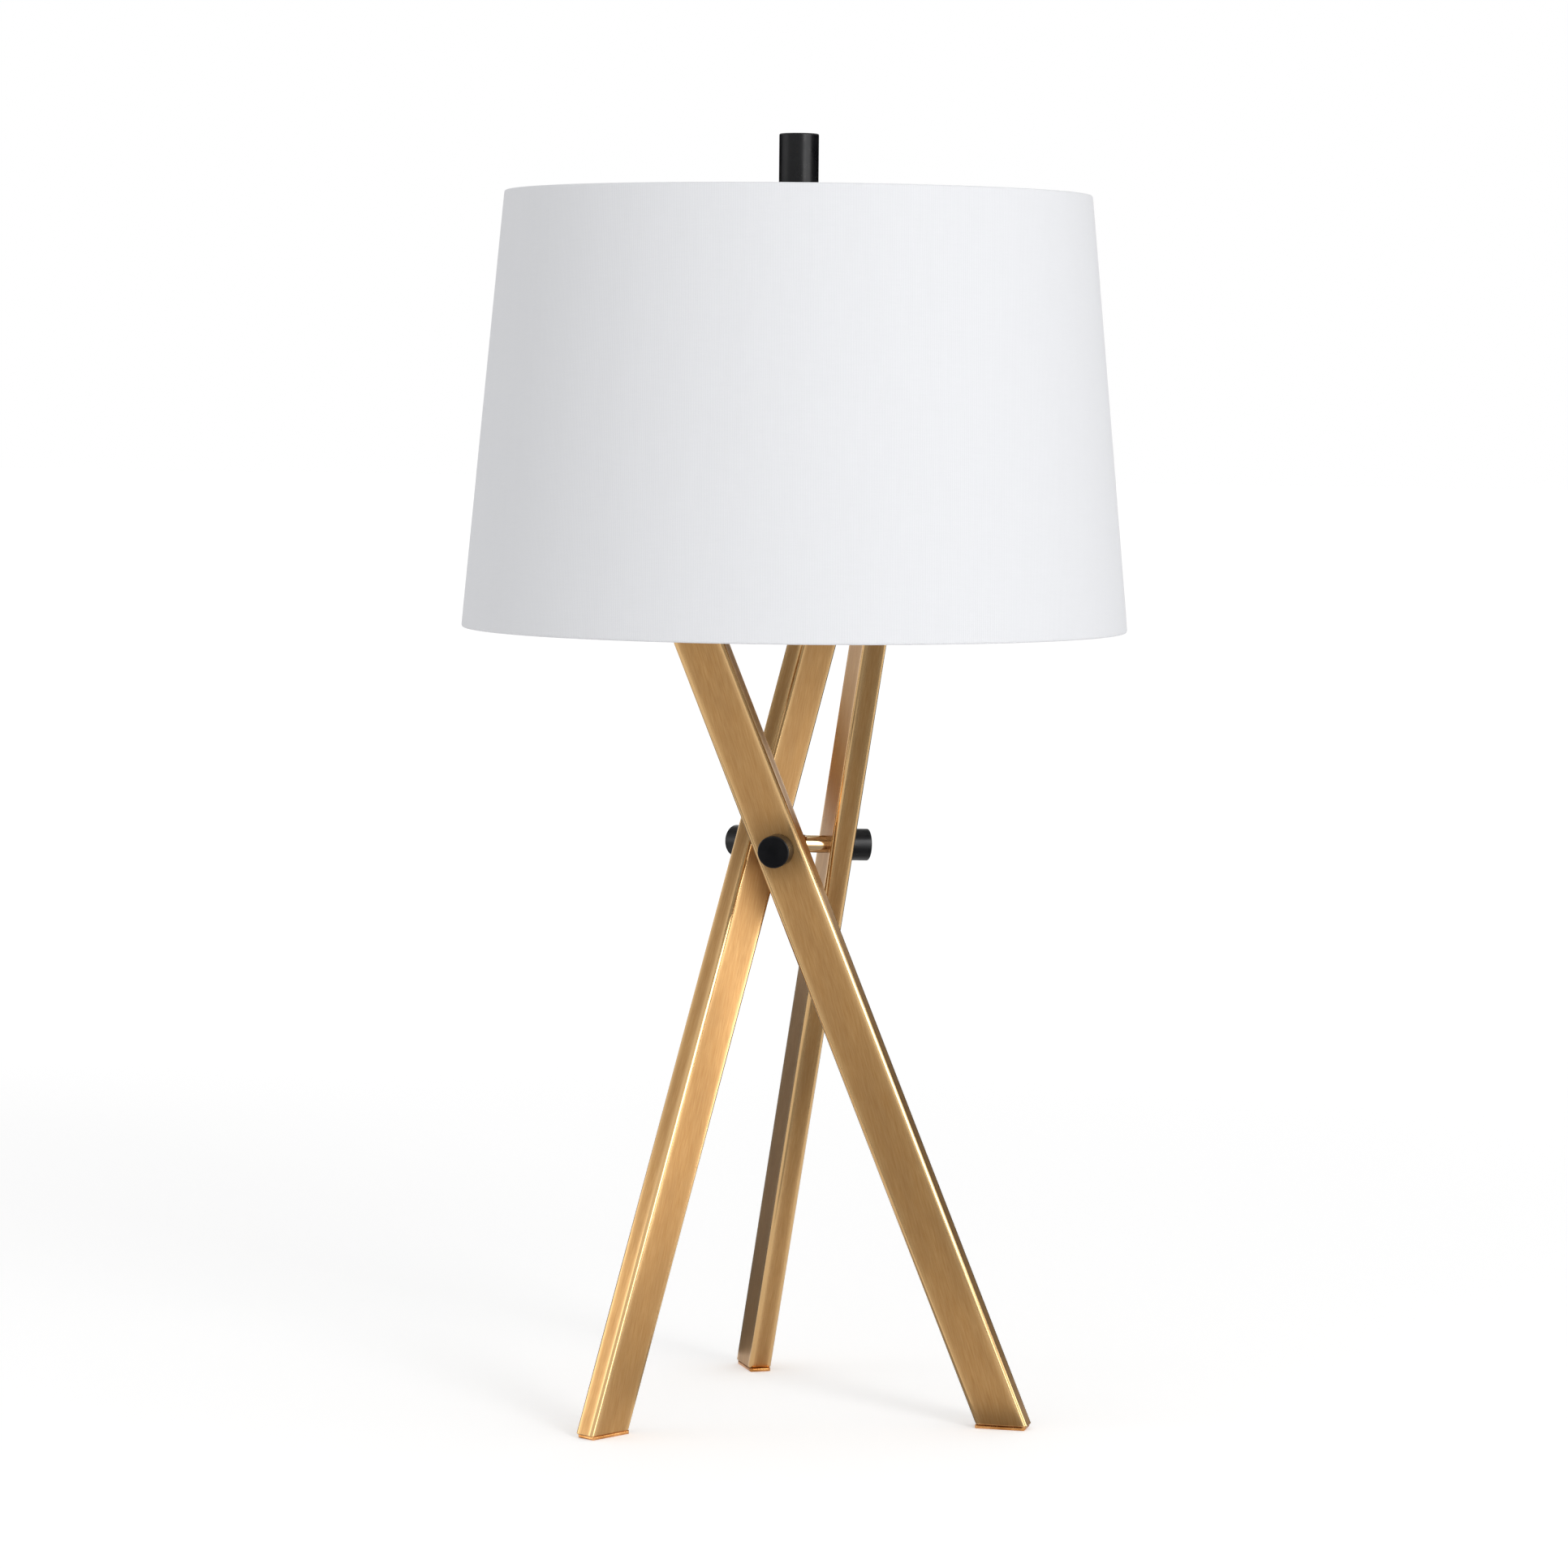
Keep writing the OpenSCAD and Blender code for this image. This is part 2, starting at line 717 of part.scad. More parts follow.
module bulb_screw_base() {
    pitch = 3.6;
    rib_r = 0.9;
    first_rib_h = 6;
    taper_h = 3.5;
    core_r = base_r - 0.6;
    color("silver") translate([0, 0, bulb_z + tip_h]) rotate_extrude() {
        polygon([[0, 0], [core_r - taper_h, 0], [core_r, taper_h], [core_r, base_h], [0, base_h]]);
        for (i = [0 : 3]) translate([base_r - rib_r, first_rib_h + i * pitch]) circle(rib_r);
    }
}

module bulb_collar() {
    lip_r = base_r + bulb_collar_lip;
    lip_h = 3;
    color("white") translate([0, 0, bulb_z + tip_h + base_h]) rotate_extrude()
        polygon([[0, 0], [lip_r, 0], [lip_r + 0.8, lip_h], [globe_foot_r, bulb_collar_h],
                 [0, bulb_collar_h]]);
}

// Half profile of a sphere of radius r that runs down into a cone, open below; the cone leaves
// the collar's rim at foot_r and touches the sphere
module globe_half(r, foot_r) {
    drop = globe_mid_h - collar_top_h;
    touch = atan2(-drop, foot_r) + acos(r / norm([foot_r, drop]));
    intersection() {
        translate([0, globe_mid_h]) circle(r);
        translate([0, globe_mid_h + r * sin(touch)]) square([r, 2 * r]);
    }
    polygon([[0, collar_top_h], [foot_r, collar_top_h],
             [r * cos(touch), globe_mid_h + r * sin(touch)], [0, globe_mid_h + r * sin(touch)]]);
}

module bulb_globe() {
    color("white") translate([0, 0, bulb_z]) rotate_extrude() difference() {
        globe_half(bulb_r, globe_foot_r);
        globe_half(bulb_r - bulb_wall, globe_foot_r - bulb_wall);
    }
}

// ---- Shade ----

// A strip of the shade's wall, between two depths in from its outer face and two levels
module wall_strip(depth0, depth1, z0, z1) {
    polygon([[ring_r(z0, depth0), z0], [ring_r(z1, depth0), z1],
             [ring_r(z1, depth1), z1], [ring_r(z0, depth1), z0]]);
}

fold_depth = fabric_t + liner_t + 2 * bond_gap;

module ring_profile(z, r) {
    translate([ring_r(z, roll_r), z]) circle(r);
}

module shade_linen() {
    color("white") difference() {
        rotate_extrude() {
            wall_strip(0, fabric_t, bottom_ring_z, top_ring_z);
            for (z = [bottom_ring_z, top_ring_z]) difference() {
                ring_profile(z, roll_r);
                ring_profile(z, roll_r - fabric_t);
            }
            wall_strip(fold_depth, fold_depth + fabric_t, bottom_ring_z + roll_r - fabric_t / 2,
                       bottom_ring_z + fold_h);
            wall_strip(fold_depth, fold_depth + fabric_t, top_ring_z - fold_h,
                       top_ring_z - roll_r + fabric_t / 2);
        }
        for (a = spider_headings) rotate(a) translate([0, 0, top_ring_z])
            along_x(spider_wire_d + 2 * bond_gap, shade_top_d / 4, ring_r(top_ring_z, roll_r));
    }
}

module shade_liner() {
    color("whitesmoke") rotate_extrude()
        wall_strip(fabric_t + bond_gap, fabric_t + bond_gap + liner_t,
                   bottom_ring_z + roll_r + bond_gap, top_ring_z - roll_r - bond_gap);
}

module wire_ring(z) {
    color("silver") rotate_extrude() ring_profile(z, ring_wire_d / 2);
}

spider_headings = [90, 210, 330];
stub_l = 4;
spider_bend_r = spider_drop / 2;
spider_start_x = ring_r(top_ring_z, roll_r) - ring_wire_d / 2 - bond_gap;
spider_bend_x = spider_start_x - stub_l;

module spider_arms() {
    color("silver") for (a = spider_headings) rotate(a) translate([0, 0, top_ring_z]) {
        along_x(spider_wire_d, spider_bend_x, spider_start_x);
        translate([spider_bend_x, 0, -spider_bend_r]) rod_bend(spider_wire_d, spider_bend_r, 90, 180);
        translate([spider_bend_x - 2 * spider_bend_r, 0, -spider_bend_r])
            rod_bend(spider_wire_d, spider_bend_r, 270, 360);
        translate([0, 0, -spider_drop])
            along_x(spider_wire_d, washer_d / 2 + run_gap, spider_bend_x - 2 * spider_bend_r);
    }
}

module spider_washer() {
    color("silver") translate([0, 0, washer_z]) tube(washer_d, stud_d + 4 * run_gap, washer_t);
}

// ---- Finial ----

spigot_h = 11;
spigot_wall = 1.5;
finial_bore_h = stud_l + 1;

module finial_collar() {
    color("goldenrod") translate([0, 0, washer_top_z]) difference() {
        union() {
            disc(finial_d / 2, collar_h, 0.3, 0.01);
            cylinder(d = stud_d + 2 * spigot_wall, h = collar_h + spigot_h);
        }
        translate([0, 0, -1]) cylinder(d = stud_d + 2 * run_gap, h = finial_bore_h + 1);
    }
}

module finial_knob() {
    color([0.08, 0.08, 0.09]) translate([0, 0, finial_z]) difference() {
        disc(finial_d, finial_h, finial_round, finial_round);
        translate([0, 0, -1])
            cylinder(d = stud_d + 2 * spigot_wall + 2 * run_gap, h = spigot_h + 1 + run_gap);
    }
}

// ---- Lead and its bushings ----

module lead_bushing_at(s) {
    in_leg_frame(right) translate([0, leg_w / 2 - leg_wall, s]) rotate([-90, 0, 0])
        difference() {
            union() {
                cylinder(d = bushing_hole_d, h = leg_wall + bushing_flange_t / 2);
                translate([0, 0, leg_wall])
                    disc(bushing_flange_d, bushing_flange_t, 0.01, 0.45 * bushing_flange_t);
            }
            translate([0, 0, -1]) cylinder(d = lead_d + 4 * run_gap, h = leg_wall + 2 * bushing_flange_t);
        }
}

module lead_bushing() {
    color([0.1, 0.1, 0.1]) lead_bushing_at(entry_s);
}

module outlet_bushing() {
    color([0.1, 0.1, 0.1]) lead_bushing_at(outlet_s);
}

lead_side = 9;     // distance of the lead from the leg's middle, past the sleeve
lead_turn = 8;     // distance along the leg in which the lead turns in or out
lead_steps = 4;    // rings for each stretch between two points
lead_sides = 8;

// Four points in line make the run between the middle two straight, as it passes a bore
lead_points = [
    [0, 0, cap_z + core_foot_h - 1],
    [0, 0, cap_z],
    [0, 0, leg_top_z - nipple_tail],
    [0, 0, leg_top_z - nipple_tail - lead_d],
    leg_point(right, [-19, leg_w + 12, entry_s + 4]),
    leg_point(right, [-4, leg_w + 3, entry_s]),
    leg_point(right, [0, leg_w / 2 + 10, entry_s]),
    leg_point(right, [0, leg_w / 2 + 4, entry_s]),
    leg_point(right, [0, leg_w / 2 - 3, entry_s]),
    leg_point(right, [0, leg_w / 2 - 8, entry_s]),
    leg_point(right, [0, 1, entry_s - lead_turn]),
    leg_point(right, [0, 2, entry_s - 3 * lead_turn]),
    leg_point(right, [0, lead_side, 60]),
    leg_point(right, [0, lead_side, -60]),
    leg_point(right, [0, 2, outlet_s + 4 * lead_turn]),
    leg_point(right, [0, 1, outlet_s + lead_turn]),
    leg_point(right, [0, leg_w / 2 - 8, outlet_s]),
    leg_point(right, [0, leg_w / 2 - 3, outlet_s]),
    leg_point(right, [0, leg_w / 2 + bushing_flange_t, outlet_s])
];

// The point at share t between b and c on a smooth curve through a, b, c and d
function curve_point(a, b, c, d, t) =
    0.5 * (2 * b + (c - a) * t + (2 * a - 5 * b + 4 * c - d) * t * t
           + (3 * b - a - 3 * c + d) * t * t * t);

function smooth(p) = [
    for (i = [0 : len(p) - 2], k = [0 : lead_steps - 1])
        curve_point(p[max(i - 1, 0)], p[i], p[i + 1], p[min(i + 2, len(p) - 1)], k / lead_steps),
    p[len(p) - 1]
];

function unit(v) = v / norm(v);

// A vector square to the run at each point, carried along from the last one so that it can't twist
function carried(p, i, last) =
    let (run = unit(p[min(i + 1, len(p) - 1)] - p[max(i - 1, 0)]))
    unit(last - (last * run) * run);
function sides_along(p, i = 0, last = [1, 0, 0]) =
    i == len(p) ? [] : let (s = carried(p, i, last)) concat([s], sides_along(p, i + 1, s));

module swept_tube(p, d, n) {
    s = sides_along(p);
    rings = [
        for (i = [0 : len(p) - 1])
            let (run = unit(p[min(i + 1, len(p) - 1)] - p[max(i - 1, 0)]), up = cross(run, s[i]))
            for (k = [0 : n - 1]) p[i] + d / 2 * (s[i] * cos(k * 360 / n) + up * sin(k * 360 / n))
    ];
    walls = [
        for (i = [0 : len(p) - 2], k = [0 : n - 1])
            let (a = i * n + k, b = i * n + (k + 1) % n)
            each [[a, a + n, b + n], [a, b + n, b]]
    ];
    ends = [
        for (k = [1 : n - 2]) each [
            [0, k, k + 1],
            [(len(p) - 1) * n, (len(p) - 1) * n + k + 1, (len(p) - 1) * n + k]
        ]
    ];
    polyhedron(rings, concat(walls, ends));
}

module inner_lead() {
    color([0.15, 0.15, 0.15]) swept_tube(smooth(lead_points), lead_d, lead_sides);
}

leg(front);  // leg_front
leg(right);  // leg_right
leg(left);  // leg_left
glide(front);  // glide_front
glide(right);  // glide_right
glide(left);  // glide_left
top_plug(front);  // top_plug_front
top_plug(right);  // top_plug_right
top_plug(left);  // top_plug_left
hub_boss();
hub_arm(front);  // hub_arm_front
hub_arm(right);  // hub_arm_right
hub_arm(left);  // hub_arm_left
leg_sleeves();
knob_washers();
knob(front);  // knob_front
knob(right);  // knob_right
knob(left);  // knob_left
socket_bracket();
bracket_screws();
nipple();
nipple_nut();
nut_washer();
harp_saddle();
harp_bow();
lock_sleeve(1);  // lock_sleeve_right
lock_sleeve(-1);  // lock_sleeve_left
harp_stud();
socket_cap();
socket_shell();
socket_liner();
socket_core();
screw_shell();
centre_contact();
switch_shaft();
switch_knob();
bulb_globe();
bulb_collar();
bulb_screw_base();
bulb_tip();
shade_linen();
shade_liner();
wire_ring(top_ring_z);  // top_ring
wire_ring(bottom_ring_z);  // bottom_ring
spider_arms();
spider_washer();
finial_knob();
finial_collar();
lead_bushing();
outlet_bushing();
inner_lead();
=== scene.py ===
# Table lamp on a crossed-leg tripod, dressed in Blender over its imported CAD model. Metres, +Z up.
from math import cos, pi, radians, sin, tan

import bpy
import numpy as np
from mathutils import Matrix, Vector


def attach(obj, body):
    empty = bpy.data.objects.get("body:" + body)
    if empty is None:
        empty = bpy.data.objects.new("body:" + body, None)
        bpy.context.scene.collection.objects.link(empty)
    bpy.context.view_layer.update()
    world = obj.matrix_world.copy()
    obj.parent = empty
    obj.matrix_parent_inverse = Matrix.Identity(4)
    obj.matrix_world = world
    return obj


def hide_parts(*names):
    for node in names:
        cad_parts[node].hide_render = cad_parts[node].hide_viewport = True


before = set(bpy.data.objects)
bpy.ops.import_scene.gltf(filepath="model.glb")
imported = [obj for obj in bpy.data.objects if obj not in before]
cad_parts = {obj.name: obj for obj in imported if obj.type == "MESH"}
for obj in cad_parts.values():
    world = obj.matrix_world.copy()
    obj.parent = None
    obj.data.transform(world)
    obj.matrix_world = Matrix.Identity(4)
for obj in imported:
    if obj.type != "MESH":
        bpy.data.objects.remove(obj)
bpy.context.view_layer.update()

# ---- Camera ----
# A long lens 3 m from the lamp and level with the middle of its shade, found by fitting the lamp's
# own edges in the photograph.
IMAGE_PX = 1932
FOCAL_PX = 6492.64
CAMERA_AT = (0.719614, -2.929996, 0.590227)
CAMERA_TURN, CAMERA_DOWN, CAMERA_ROLL = 0.242498, 0.075074, 0.009814  # radians
camera_data = bpy.data.cameras.new("camera")
camera_data.sensor_width = 36
camera_data.lens = FOCAL_PX * camera_data.sensor_width / IMAGE_PX
camera = bpy.data.objects.new("camera", camera_data)
camera.matrix_world = (Matrix.Translation(CAMERA_AT) @ Matrix.Rotation(CAMERA_TURN, 4, "Z")
                       @ Matrix.Rotation(pi / 2 - CAMERA_DOWN, 4, "X")
                       @ Matrix.Rotation(CAMERA_ROLL, 4, "Z"))
bpy.context.scene.collection.objects.link(camera)
bpy.context.scene.camera = camera
bpy.context.scene.view_settings.view_transform = "Standard"

# ---- Legs ----
# Three lengths of rectangular brass tube with rounded corners, cut level at both ends, brushed along
# their length, aged and lacquered, so that their faces are brown. Their corners are painted a lighter
# gold, partly as rubbed wear and partly as a painted highlight.
FRONT, RIGHT, LEFT = radians(-90), radians(30), radians(150)
HUB_Z = 0.329
ARM_R = 0.0264
LEG_TILT, LEG_LEAN = radians(22), radians(1.6)
LEG_W, LEG_T, LEG_WALL, LEG_CORNER = 0.0279, 0.0138, 0.0012, 0.0022
LEG_FOOT_Z, LEG_TOP_Z = 0.0022, 0.4864
LEG_BEVEL = 0.0006  # of the outer edge at each cut end
# Reach of the corners' lighter tone, which is partly rubbed wear and partly a painted highlight.
WEAR_AND_HIGHLIGHT_REACH = 0.001  # from a corner into the flat, in which its lighter tone fades out
BRUSH_SLANT = radians(6)  # of the brushing on the wide faces, towards the upright


def linear(code):
    """sRGB hex to linear RGBA: c / 12.92 up to 0.04045, and ((c + 0.055) / 1.055) ** 2.4 above."""
    c = np.array([int(code[i:i + 2], 16) for i in (1, 3, 5)]) / 255
    return (*np.where(c <= 0.04045, c / 12.92, ((c + 0.055) / 1.055) ** 2.4).tolist(), 1.0)


def add(material, kind, sockets=None, **settings):
    """Adds one shader node. sockets gives each input a value or another node's output."""
    tree = material.node_tree
    node = tree.nodes.new("ShaderNode" + kind)
    for name, value in settings.items():
        setattr(node, name, value)
    for name, value in (sockets or {}).items():
        if isinstance(value, bpy.types.NodeSocket):
            tree.links.new(value, node.inputs[name])
        else:
            node.inputs[name].default_value = value
    return node


def new_material(name):
    material = bpy.data.materials.new(name)
    material.use_nodes = True
    material.node_tree.nodes.clear()
    return material


def surface(material, **sockets):
    """Ends a material in one Principled surface; base_color=... stands for the socket Base Color."""
    named = {name.replace("_", " ").title().replace("Ior", "IOR"): value for name, value in sockets.items()}
    shader = add(material, "BsdfPrincipled", named)
    add(material, "OutputMaterial", {"Surface": shader.outputs["BSDF"]})
    return material


def noise(material, where, size, detail=2.0, rough=0.5):
    """Noise of one feature per size (x, y, z in metres), from 0 to 1 with a mean of 0.5."""
    scaled = add(material, "Mapping", {"Vector": where, "Scale": tuple(1 / s for s in size)})
    return add(material, "TexNoise", {"Vector": scaled.outputs["Vector"], "Scale": 1.0,
                                      "Detail": detail, "Roughness": rough}).outputs["Fac"]


def between(material, value, low, high, to_low=0.0, to_high=1.0):
    """value carried from low..high to to_low..to_high, and held at the ends."""
    return add(material, "MapRange", {"Value": value, "From Min": low, "From Max": high,
                                      "To Min": to_low, "To Max": to_high}).outputs["Result"]


def blend_colour(material, share, first, second):
    """share of second over first, each a hex colour or a node's output."""
    node = add(material, "Mix", data_type="RGBA")
    for index, value in ((0, share), (6, first), (7, second)):
        if isinstance(value, bpy.types.NodeSocket):
            material.node_tree.links.new(value, node.inputs[index])
        else:
            node.inputs[index].default_value = linear(value) if isinstance(value, str) else value
    return node.outputs[2]


def skin(name, points, uv=None, closed=(True, False), caps=False, sharp=40):
    """Mesh over a grid of points (rows, columns, 3): face (i, j) joins point (i, j) to its next
    column and row. closed joins the last column, or the last row, to the first, where uv has one
    more. caps puts one flat face on the first and last row of a grid without uv. The sign of the
    volume inside turns all faces outwards."""
    rows, columns = points.shape[:2]
    index = np.arange(rows * columns).reshape(rows, columns)
    i, j = np.meshgrid(np.arange(rows if closed[1] else rows - 1),
                       np.arange(columns if closed[0] else columns - 1), indexing="ij")
    i2, j2 = i + 1, j + 1
    quads = np.stack([index[i, j], index[i, j2 % columns], index[i2 % rows, j2 % columns],
                      index[i2 % rows, j]], -1).reshape(-1, 4)
    flat = points.reshape(-1, 3)
    p = flat[quads] - flat.mean(0)
    volume = np.einsum("ij,ij->", p[:, 0], np.cross(p[:, 1], p[:, 2]) + np.cross(p[:, 2], p[:, 3]))
    flip = -1 if volume < 0 else 1
    faces = quads[:, ::flip].tolist()
    if caps:
        faces += [index[0, ::-flip].tolist(), index[-1, ::flip].tolist()]
    mesh = bpy.data.meshes.new(name)
    mesh.from_pydata(flat.tolist(), [], faces)
    if uv is not None:
        loops = np.stack([uv[i, j], uv[i, j2], uv[i2, j2], uv[i2, j]], -2).reshape(-1, 4, 2)[:, ::flip]
        mesh.uv_layers.new(name="surface").data.foreach_set("uv", loops.astype(np.float32).ravel())
    mesh.shade_smooth()
    mesh.set_sharp_from_angle(angle=radians(sharp))
    piece = bpy.data.objects.new(name, mesh)
    bpy.context.scene.collection.objects.link(piece)
    return piece


def dress(piece, material, body, nodes):
    """Gives a piece its finish, the body that it rides on, and the CAD nodes that it stands for."""
    piece.data.materials.append(material)
    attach(piece, body)
    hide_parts(*nodes)
    return piece


def rotation(axis, angle):
    return np.array(Matrix.Rotation(angle, 3, axis))


def rounded_outline(x, y, r, arc=7, side=9):
    """Outline of an x by y rectangle with corners of radius r, (n, 2): each corner is a quarter
    circle about its own centre, and each side is cut into equal steps that widen from its ends."""
    turn = np.linspace(0, pi / 2, arc)
    corner = np.array([[1, 1], [-1, 1], [-1, -1], [1, -1]]) * (x / 2 - r, y / 2 - r)
    angle = turn[None] + np.arange(4)[:, None] * pi / 2
    arcs = corner[:, None] + r * np.stack([np.cos(angle), np.sin(angle)], -1)
    share = (0.5 - 0.5 * np.cos(np.linspace(0, pi, side + 2)))[1:-1, None]
    sides = arcs[:, -1:] * (1 - share) + np.roll(arcs[:, :1], -1, 0) * share
    return np.concatenate([arcs, sides], 1).reshape(-1, 2)


def run_along(outline):
    """Distance along a closed outline to each point and back to the first, (n + 1)."""
    steps = np.linalg.norm(np.roll(outline, -1, 0) - outline, axis=-1)
    return np.concatenate([[0], np.cumsum(steps)])


def leg_frame(heading):
    """Turn and middle of a leg: its X runs out through the knob, Y across and Z up the tube."""
    lean = rotation("Z", heading) @ rotation("Y", LEG_LEAN)
    return lean @ rotation("X", LEG_TILT), lean @ np.array([ARM_R, 0, 0]) + (0, 0, HUB_Z)


def leg_tube(name, heading):
    """Each point of the outline runs along the tube to the level of the floor cut or the top cut:
    s = (level - the point's own height at s = 0) / the tube's rise. The grid's six rows are the
    outer wall's foot, the two lines that its bevels start at, its top, and the inner wall's top and
    foot. They are joined round, so the tube has rims."""
    turn, middle = leg_frame(heading)
    outer = rounded_outline(LEG_T, LEG_W, LEG_CORNER)
    ends = rounded_outline(LEG_T - 2 * LEG_BEVEL, LEG_W - 2 * LEG_BEVEL, LEG_CORNER - LEG_BEVEL)
    inner = rounded_outline(LEG_T - 2 * LEG_WALL, LEG_W - 2 * LEG_WALL, LEG_CORNER - LEG_WALL)
    outline = np.stack([ends, outer, outer, ends, inner, inner])
    level = np.array([LEG_FOOT_Z, LEG_FOOT_Z + LEG_BEVEL, LEG_TOP_Z - LEG_BEVEL, LEG_TOP_Z, LEG_TOP_Z,
                      LEG_FOOT_Z])[:, None]
    s = (level - middle[2] - outline @ turn[2, :2]) / turn[2, 2]
    points = middle + np.concatenate([outline, s[..., None]], -1) @ turn.T
    u = np.broadcast_to(run_along(outer), (len(outline) + 1, len(outer) + 1))
    rim = LEG_WALL - LEG_BEVEL
    inner_foot = 2 * s[3] + rim - s[0]
    along = np.stack([s[0], s[1], s[2], s[3], s[3] + rim, inner_foot, inner_foot + rim])
    v = np.concatenate([along, along[:, :1]], 1)
    piece = skin(name, points, np.stack([u, v], -1), closed=(True, True))
    inside = np.maximum(LEG_W / 2 - LEG_CORNER - abs(outer[:, 1]),
                        LEG_T / 2 - LEG_CORNER - abs(outer[:, 0]))
    # Corner mask: it paints the tone lighter (wear and painted highlight) and makes the gloss smoother.
    edge = np.exp(-np.maximum(inside, 0) / WEAR_AND_HIGHLIGHT_REACH)
    piece.data.attributes.new("edge", "FLOAT", "POINT").data.foreach_set(
        "value", np.tile(edge, len(outline)).astype(np.float32))
    step = np.roll(outer, -1, 0) - outer
    slant = np.where(abs(step[:, 1]) > abs(step[:, 0]), -np.sign(step[:, 1]) * tan(BRUSH_SLANT), 0)
    piece.data.attributes.new("slant", "FLOAT", "FACE").data.foreach_set(
        "value", np.tile(slant, len(outline)).astype(np.float32))
    return piece


# Brass, brushed with a belt, then darkened and rubbed back: lines 0.9 and 0.4 mm apart and up to
# 15 mm long spread each reflection across the tube. The corners are smoother and are painted lighter:
# partly rubbed wear, partly a painted highlight.
def brushed_brass():
    m = new_material("brushed_aged_brass")
    uv = add(m, "UVMap", uv_map="surface").outputs["UV"]
    parts = add(m, "SeparateXYZ", {"Vector": uv})
    slant = add(m, "Attribute", attribute_name="slant").outputs["Fac"]
    across = add(m, "Math", {0: parts.outputs["Y"], 1: slant, 2: parts.outputs["X"]},
                 operation="MULTIPLY_ADD")
    brushed = add(m, "CombineXYZ", {"X": across.outputs[0], "Y": parts.outputs["Y"]}).outputs["Vector"]
    lines = noise(m, brushed, (0.0009, 0.015, 1), 3.0, 0.6)
    fine = noise(m, brushed, (0.0004, 0.008, 1), 2.0, 0.6)
    cloud = noise(m, uv, (0.012, 0.04, 1), 2.0, 0.5)
    edge = add(m, "Attribute", attribute_name="edge").outputs["Fac"]
    tone = blend_colour(m, between(m, lines, 0.3, 0.7), "#A67C4B", "#B99361")
    tone = blend_colour(m, between(m, fine, 0.3, 0.7, 0, 0.4), tone, "#99734A")
    tone = blend_colour(m, between(m, cloud, 0.35, 0.7, 0, 0.3), tone, "#93704A")
    # Corners painted lighter: partly rubbed wear, partly a painted highlight.
    tone = blend_colour(m, between(m, edge, 0, 1, 0, 0.7), tone, "#DDB884")
    height = add(m, "Math", {0: lines, 1: fine}, operation="ADD").outputs[0]
    bump = add(m, "Bump", {"Height": height, "Strength": between(m, edge, 0, 0.6, 0.25, 0),
                           "Distance": 0.00003})
    tangent = add(m, "Tangent", direction_type="UV_MAP", uv_map="surface")
    rubbed = add(m, "Math", {0: edge, 1: -0.15, 2: between(m, fine, 0.3, 0.7, 0.31, 0.39)},
                 operation="MULTIPLY_ADD").outputs[0]
    return surface(m, base_color=tone, metallic=1.0, anisotropic=0.5, roughness=rubbed,
                   normal=bump.outputs["Normal"], tangent=tangent.outputs["Tangent"])


aged_brass = brushed_brass()
for side, heading in (("front", FRONT), ("right", RIGHT), ("left", LEFT)):
    leg = leg_tube("tube_" + side, heading)
    dress(leg, aged_brass, "stand", ["leg_" + side])

# ---- Glides ----
# Thin feet of cast copper bronze, pressed into the tubes' open lower ends. They are left satin, with a
# slight patina.


def refinish(material, *nodes):
    """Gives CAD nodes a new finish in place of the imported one."""
    for node in nodes:
        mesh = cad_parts[node].data
        mesh.materials.clear()
        mesh.materials.append(material)


def patina_metal(name, dark, light, roughness, grain=0.0009):
    """Metal whose colour and gloss wander between two tones over grain-sized spots."""
    m = new_material(name)
    where = add(m, "TexCoord").outputs["Object"]
    spots = noise(m, where, (grain,) * 3, 3.0, 0.6)
    cloud = noise(m, where, (12 * grain,) * 3, 2.0, 0.5)
    tone = blend_colour(m, between(m, cloud, 0.35, 0.65), dark, light)
    tone = blend_colour(m, between(m, spots, 0.35, 0.7, 0, 0.35), tone, dark)
    bump = add(m, "Bump", {"Height": spots, "Strength": 0.3, "Distance": 0.00002})
    return surface(m, base_color=tone, metallic=1.0,
                   roughness=between(m, spots, 0.3, 0.7, roughness - 0.04, roughness + 0.06),
                   normal=bump.outputs["Normal"])


refinish(patina_metal("cast_bronze", "#B27A42", "#DCA46A", 0.28),
         "glide_front", "glide_right", "glide_left")

# ---- Hub ----
# A turned brass boss with three coped rods brazed to it, polished lighter than the legs. The boss is
# drawn no higher than the rods, because the photograph shows none above them. The steel sleeves
# inside the legs are zinc plated.
BOSS_R, BOSS_H, BOSS_CHAMFER = 0.0085, 0.0098, 0.0006


def turned_metal(name, dark, light, roughness, axis="Z", pitch=0.0005, depth=0.00001):
    """Metal turned on a lathe: rings of tone and height, one to each pitch along the axis."""
    m = new_material(name)
    where = add(m, "TexCoord").outputs["Object"]
    size = [0.02, 0.02, 0.02]
    size["XYZ".index(axis)] = pitch
    rings = noise(m, where, size, 2.0, 0.6)
    cloud = noise(m, where, (0.008,) * 3, 2.0, 0.5)
    tone = blend_colour(m, between(m, rings, 0.3, 0.7), dark, light)
    tone = blend_colour(m, between(m, cloud, 0.4, 0.7, 0, 0.3), tone, dark)
    bump = add(m, "Bump", {"Height": rings, "Strength": 0.3, "Distance": depth})
    tangent = add(m, "Tangent", direction_type="RADIAL", axis=axis)
    return surface(m, base_color=tone, metallic=1.0, anisotropic=0.3,
                   roughness=between(m, cloud, 0.3, 0.7, roughness - 0.03, roughness + 0.05),
                   normal=bump.outputs["Normal"], tangent=tangent.outputs["Tangent"])


